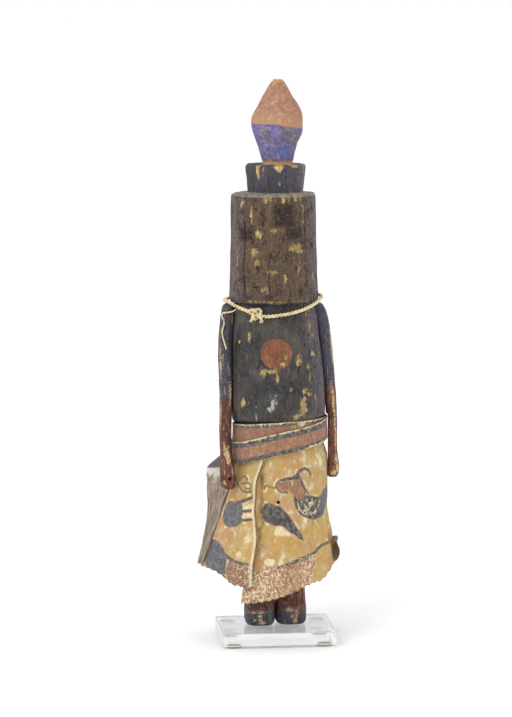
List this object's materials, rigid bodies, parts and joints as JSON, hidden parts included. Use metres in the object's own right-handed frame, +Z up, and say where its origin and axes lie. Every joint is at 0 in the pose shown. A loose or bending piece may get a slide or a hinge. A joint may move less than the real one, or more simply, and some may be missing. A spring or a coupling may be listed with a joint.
{
  "type": "kachina doll",
  "caption": "Carved and painted wooden doll with a cylindrical case mask and a hide kilt, fixed upright on a clear plate with round feet.",
  "frame": {"origin": "on the floor under the centre of the whole part's box", "axes": "+Z up, the doll faces -Y, and +X is the viewer's right"},
  "size_m": [0.0984, 0.086, 0.3944],
  "materials": {
    "figure_wood": "carved root wood under worn blue-black mineral paint",
    "arm_wood": "carved wood, black above the elbow and worn red-brown below",
    "kilt_hide": "thin hide painted ochre, with dark figures and worn cream patches",
    "belt_hide": "thin hide with a speckled red band between dark lines and a pale edge",
    "pelt_hide": "hide with matted grey-brown hair",
    "string": "cream plant-fibre string, two strands twisted",
    "acrylic": "clear polished acrylic",
    "bumper": "translucent soft bumper, slightly yellowed"
  },
  "bodies": {
    "root": {"carved_figure": "figure_wood", "left_arm": "arm_wood", "right_arm": "arm_wood", "kilt": "kilt_hide", "belt": "belt_hide", "back_pelt": "pelt_hide", "neck_cord": "string", "loose_thread": "string", "stand_plate": "acrylic", "front_left_pad": "bumper", "front_right_pad": "bumper", "back_left_pad": "bumper", "back_right_pad": "bumper"}
  },
  "joints": []
}
